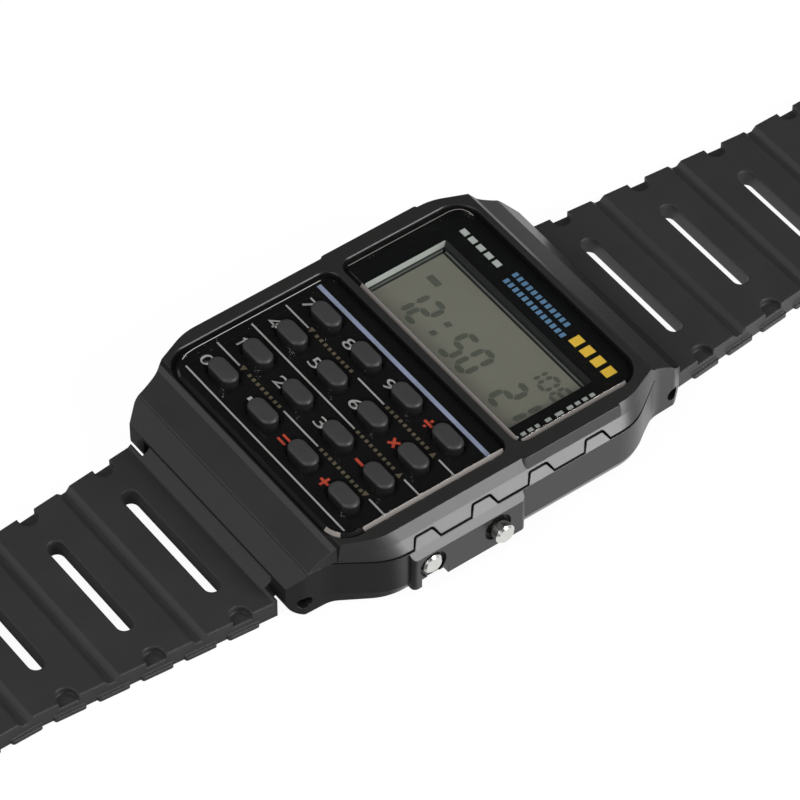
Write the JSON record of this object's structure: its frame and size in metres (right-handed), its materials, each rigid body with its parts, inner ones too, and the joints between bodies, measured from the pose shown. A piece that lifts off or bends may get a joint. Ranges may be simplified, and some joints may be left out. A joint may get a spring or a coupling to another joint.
{
  "type": "calculator watch",
  "caption": "Wristwatch with a rectangular case, liquid crystal display over a calculator keypad, two side buttons and a slotted resin strap with a pin buckle.",
  "frame": {"origin": "middle of the case in plan, on the outer face of the plate under the case", "axes": "+X towards the side buttons (three o'clock), +Y towards twelve o'clock, +Z out of the display"},
  "size_m": [0.0341, 0.232, 0.0082],
  "materials": {
    "black_resin": "satin",
    "black_gloss_plastic": "polished",
    "strap_resin": "matte",
    "panel_plastic": "polished",
    "mineral_glass": "polished",
    "liquid_crystal": "satin",
    "key_plastic": "satin",
    "rubber": "matte",
    "frame_plastic": "matte",
    "board_laminate": "satin",
    "chip_resin": "matte",
    "steel": "satin",
    "bright_steel": "polished",
    "brass": "satin",
    "film": "satin"
  },
  "bodies": {
    "case": {"case_body": "black_resin", "top_bezel": "black_gloss_plastic", "keypad_panel": "panel_plastic", "display_glass": "mineral_glass", "case_back": "steel", "back_screws": "steel", "keypad_membrane": "rubber", "lcd_cell": "liquid_crystal", "zebra_strips": "rubber", "module_frame": "frame_plastic", "circuit_board": "board_laminate", "module_screws": "steel", "processor_chip": "chip_resin", "quartz_crystal": "bright_steel", "trim_capacitor": "frame_plastic", "battery": "steel", "battery_clip": "steel", "insulator_sheet": "film", "buzzer_disc": "brass", "buzzer_spring": "steel", "switch_springs": "steel", "back_gasket": "rubber", "pusher_spring_lower": "steel", "pusher_spring_upper": "steel", "bar_tube_six": "steel", "bar_tube_twelve": "steel", "bar_spring_six": "steel", "bar_spring_twelve": "steel"},
    "key_0": {"key_0": "key_plastic"},
    "key_1": {"key_1": "key_plastic"},
    "key_2": {"key_2": "key_plastic"},
    "key_3": {"key_3": "key_plastic"},
    "key_4": {"key_4": "key_plastic"},
    "key_5": {"key_5": "key_plastic"},
    "key_6": {"key_6": "key_plastic"},
    "key_7": {"key_7": "key_plastic"},
    "key_8": {"key_8": "key_plastic"},
    "key_9": {"key_9": "key_plastic"},
    "key_point": {"key_point": "key_plastic"},
    "key_equals": {"key_equals": "key_plastic"},
    "key_plus": {"key_plus": "key_plastic"},
    "key_minus": {"key_minus": "key_plastic"},
    "key_times": {"key_times": "key_plastic"},
    "key_divide": {"key_divide": "key_plastic"},
    "pusher_lower": {"pusher_lower": "bright_steel", "pusher_seal_lower": "rubber", "pusher_clip_lower": "steel"},
    "pusher_upper": {"pusher_upper": "bright_steel", "pusher_seal_upper": "rubber", "pusher_clip_upper": "steel"},
    "strap_long": {"strap_long": "strap_resin"},
    "strap_short": {"strap_short": "strap_resin", "buckle_bar": "steel"},
    "bar_pin_six_right": {"bar_pin_six_right": "steel"},
    "bar_pin_six_left": {"bar_pin_six_left": "steel"},
    "bar_pin_twelve_right": {"bar_pin_twelve_right": "steel"},
    "bar_pin_twelve_left": {"bar_pin_twelve_left": "steel"},
    "strap_keeper": {"strap_keeper": "strap_resin"},
    "buckle_frame": {"buckle_frame": "bright_steel"},
    "buckle_tongue": {"buckle_tongue": "bright_steel"}
  },
  "joints": [
    {"name": "key_0_press", "type": "slide", "parent": "case", "child": "key_0", "axis": [0, 0, -1], "range_m": [0, 0.00042], "stiffness_N_per_m": 300},
    {"name": "key_1_press", "type": "slide", "parent": "case", "child": "key_1", "axis": [0, 0, -1], "range_m": [0, 0.00042], "stiffness_N_per_m": 300},
    {"name": "key_2_press", "type": "slide", "parent": "case", "child": "key_2", "axis": [0, 0, -1], "range_m": [0, 0.00042], "stiffness_N_per_m": 300},
    {"name": "key_3_press", "type": "slide", "parent": "case", "child": "key_3", "axis": [0, 0, -1], "range_m": [0, 0.00042], "stiffness_N_per_m": 300},
    {"name": "key_4_press", "type": "slide", "parent": "case", "child": "key_4", "axis": [0, 0, -1], "range_m": [0, 0.00042], "stiffness_N_per_m": 300},
    {"name": "key_5_press", "type": "slide", "parent": "case", "child": "key_5", "axis": [0, 0, -1], "range_m": [0, 0.00042], "stiffness_N_per_m": 300},
    {"name": "key_6_press", "type": "slide", "parent": "case", "child": "key_6", "axis": [0, 0, -1], "range_m": [0, 0.00042], "stiffness_N_per_m": 300},
    {"name": "key_7_press", "type": "slide", "parent": "case", "child": "key_7", "axis": [0, 0, -1], "range_m": [0, 0.00042], "stiffness_N_per_m": 300},
    {"name": "key_8_press", "type": "slide", "parent": "case", "child": "key_8", "axis": [0, 0, -1], "range_m": [0, 0.00042], "stiffness_N_per_m": 300},
    {"name": "key_9_press", "type": "slide", "parent": "case", "child": "key_9", "axis": [0, 0, -1], "range_m": [0, 0.00042], "stiffness_N_per_m": 300},
    {"name": "key_point_press", "type": "slide", "parent": "case", "child": "key_point", "axis": [0, 0, -1], "range_m": [0, 0.00042], "stiffness_N_per_m": 300},
    {"name": "key_equals_press", "type": "slide", "parent": "case", "child": "key_equals", "axis": [0, 0, -1], "range_m": [0, 0.00042], "stiffness_N_per_m": 300},
    {"name": "key_plus_press", "type": "slide", "parent": "case", "child": "key_plus", "axis": [0, 0, -1], "range_m": [0, 0.00042], "stiffness_N_per_m": 300},
    {"name": "key_minus_press", "type": "slide", "parent": "case", "child": "key_minus", "axis": [0, 0, -1], "range_m": [0, 0.00042], "stiffness_N_per_m": 300},
    {"name": "key_times_press", "type": "slide", "parent": "case", "child": "key_times", "axis": [0, 0, -1], "range_m": [0, 0.00042], "stiffness_N_per_m": 300},
    {"name": "key_divide_press", "type": "slide", "parent": "case", "child": "key_divide", "axis": [0, 0, -1], "range_m": [0, 0.00042], "stiffness_N_per_m": 300},
    {"name": "pusher_lower_press", "type": "slide", "parent": "case", "child": "pusher_lower", "axis": [-1, 0, 0], "range_m": [0, 0.0009], "stiffness_N_per_m": 400, "deforming": ["pusher_spring_lower"]},
    {"name": "pusher_upper_press", "type": "slide", "parent": "case", "child": "pusher_upper", "axis": [-1, 0, 0], "range_m": [0, 0.0009], "stiffness_N_per_m": 400, "deforming": ["pusher_spring_upper"]},
    {"name": "strap_long_swing", "type": "hinge", "parent": "case", "child": "strap_long", "pos_m": [0, -0.02016, 0.00194], "axis": [-1, 0, 0], "range_deg": [-90, 20]},
    {"name": "strap_short_swing", "type": "hinge", "parent": "case", "child": "strap_short", "pos_m": [0, 0.02016, 0.00194], "axis": [1, 0, 0], "range_deg": [-90, 20]},
    {"name": "bar_pin_six_right_slide", "type": "slide", "parent": "case", "child": "bar_pin_six_right", "axis": [-1, 0, 0], "range_m": [0, 0.0017], "stiffness_N_per_m": 500, "deforming": ["bar_spring_six"]},
    {"name": "bar_pin_six_left_slide", "type": "slide", "parent": "case", "child": "bar_pin_six_left", "axis": [1, 0, 0], "range_m": [0, 0.0017], "stiffness_N_per_m": 500},
    {"name": "bar_pin_twelve_right_slide", "type": "slide", "parent": "case", "child": "bar_pin_twelve_right", "axis": [-1, 0, 0], "range_m": [0, 0.0017], "stiffness_N_per_m": 500, "deforming": ["bar_spring_twelve"]},
    {"name": "bar_pin_twelve_left_slide", "type": "slide", "parent": "case", "child": "bar_pin_twelve_left", "axis": [1, 0, 0], "range_m": [0, 0.0017], "stiffness_N_per_m": 500},
    {"name": "keeper_slide", "type": "slide", "parent": "strap_short", "child": "strap_keeper", "axis": [0, 1, 0], "range_m": [-0.009, 0.0065]},
    {"name": "buckle_swing", "type": "hinge", "parent": "strap_short", "child": "buckle_frame", "pos_m": [0, 0.0916, 0.00243], "axis": [1, 0, 0], "range_deg": [-80, 25]},
    {"name": "tongue_swing", "type": "hinge", "parent": "buckle_frame", "child": "buckle_tongue", "pos_m": [0, 0.0916, 0.00243], "axis": [1, 0, 0], "range_deg": [0, 85]}
  ]
}
